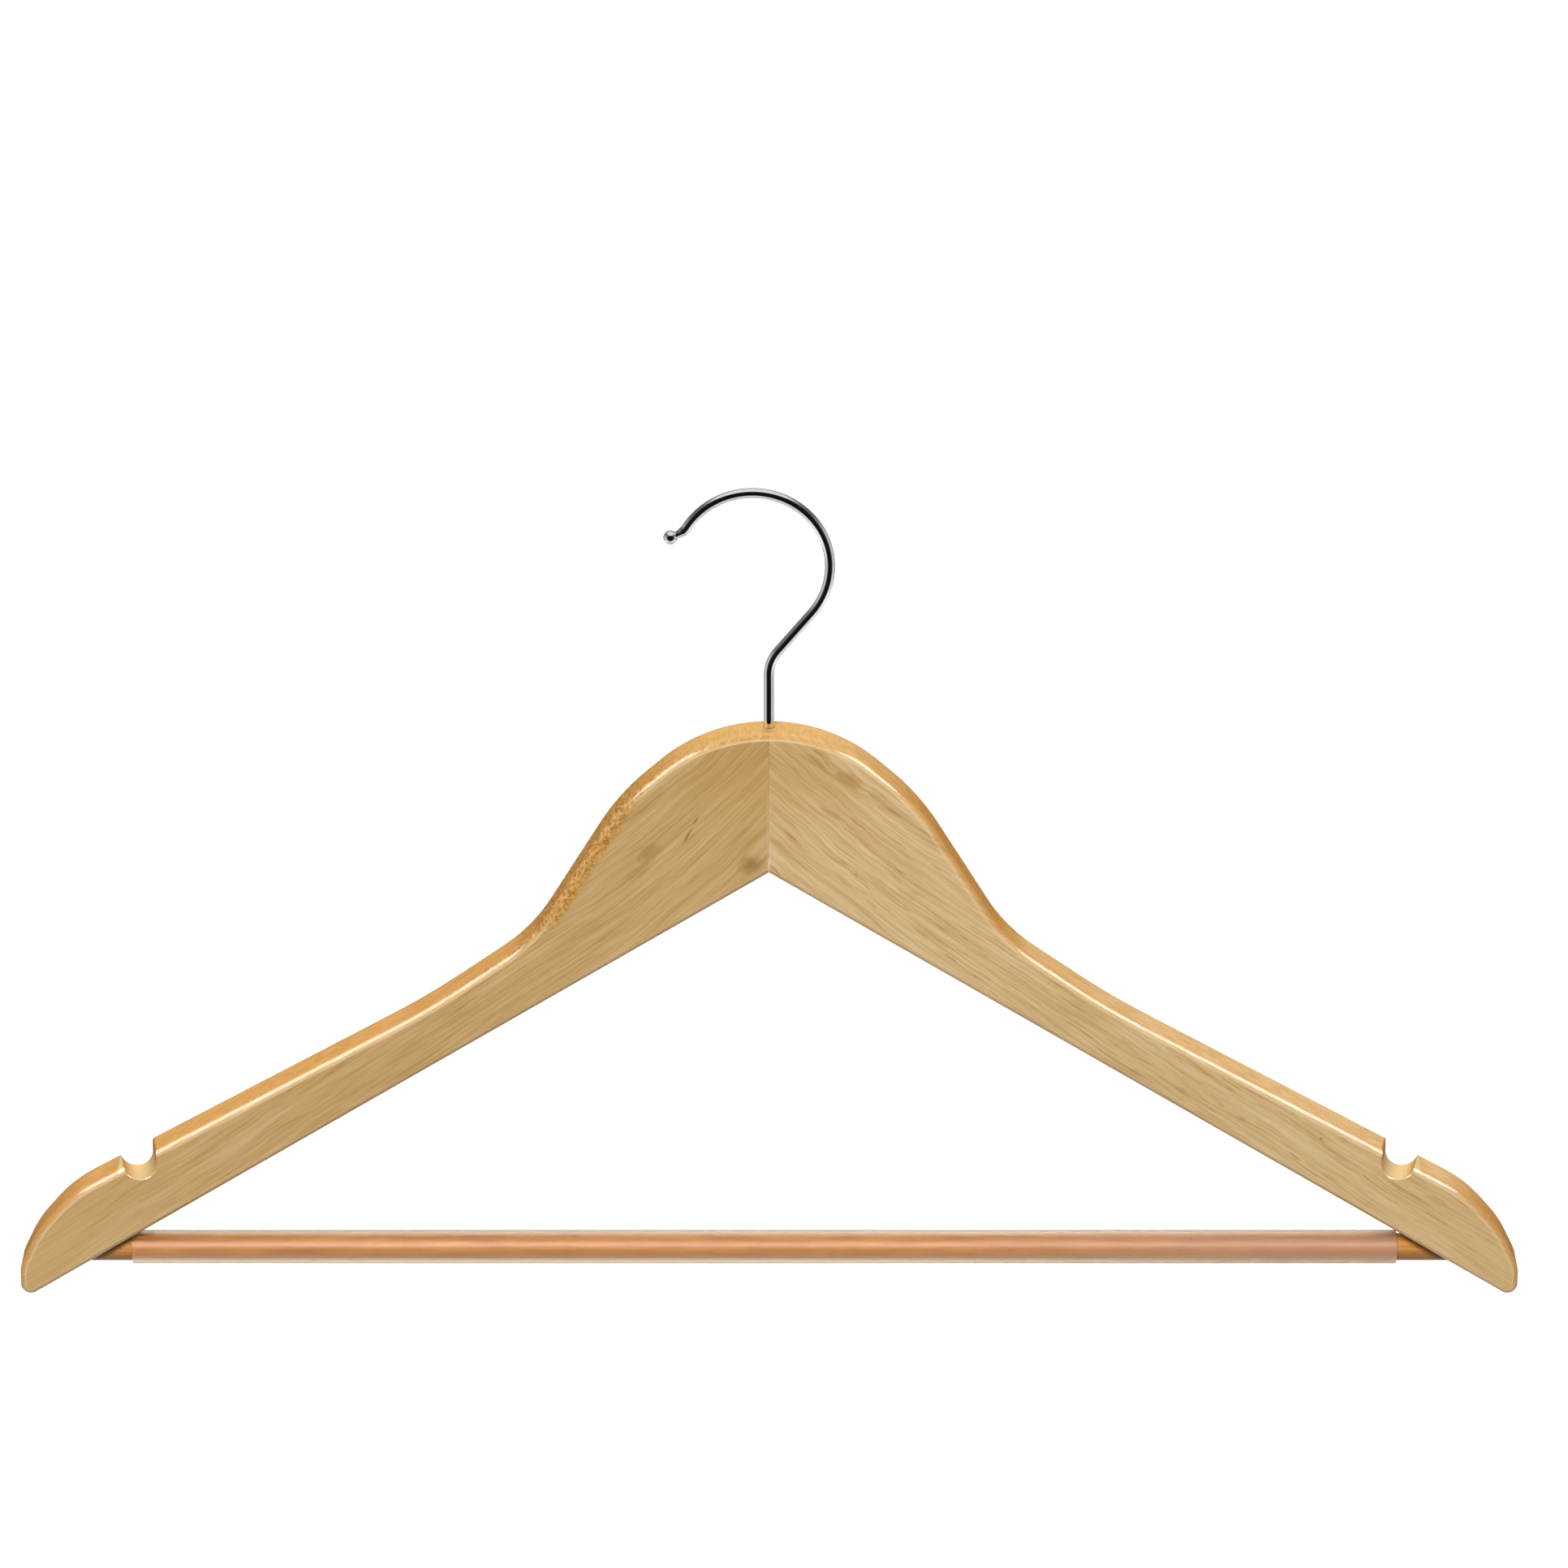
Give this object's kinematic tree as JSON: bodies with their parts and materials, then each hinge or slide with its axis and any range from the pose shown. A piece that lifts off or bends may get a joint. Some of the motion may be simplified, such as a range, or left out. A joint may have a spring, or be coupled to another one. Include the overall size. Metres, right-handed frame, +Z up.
{
  "type": "clothes hanger",
  "caption": "Flat wooden suit hanger with sloping notched shoulders, a swivelling chromed wire hook and a straight trouser bar in a clear non-slip sleeve.",
  "frame": {"origin": "under the swivel axis, in the middle of the thickness, level with the lowest points of the two arm tips", "axes": "+X along the arms towards the right arm, +Z up along the hook's shank, the front face looks towards -Y"},
  "size_m": [0.445, 0.014, 0.251],
  "materials": {
    "arm_wood": "clear lacquer over light natural timber",
    "spline_wood": "raw timber",
    "bar_wood": "warm stained and lacquered dowel",
    "hook_chrome": "bright plated wire",
    "fixing_steel": "plain zinc-plated steel",
    "clear_vinyl": "clear soft tube, slightly milky"
  },
  "bodies": {
    "hook_body": {"hook": "hook_chrome", "hook_washer": "fixing_steel", "hook_lock_nut": "fixing_steel"},
    "hanger_body": {"left_arm": "arm_wood", "right_arm": "arm_wood", "mitre_spline": "spline_wood", "trouser_bar": "bar_wood", "bar_sleeve": "clear_vinyl", "left_bar_nail": "fixing_steel", "right_bar_nail": "fixing_steel"}
  },
  "joints": [
    {"name": "hook_swivel", "type": "hinge", "parent": "hook_body", "child": "hanger_body", "pos_m": [0, 0, 0.1777], "axis": [0, 0, 1], "continuous": true}
  ]
}
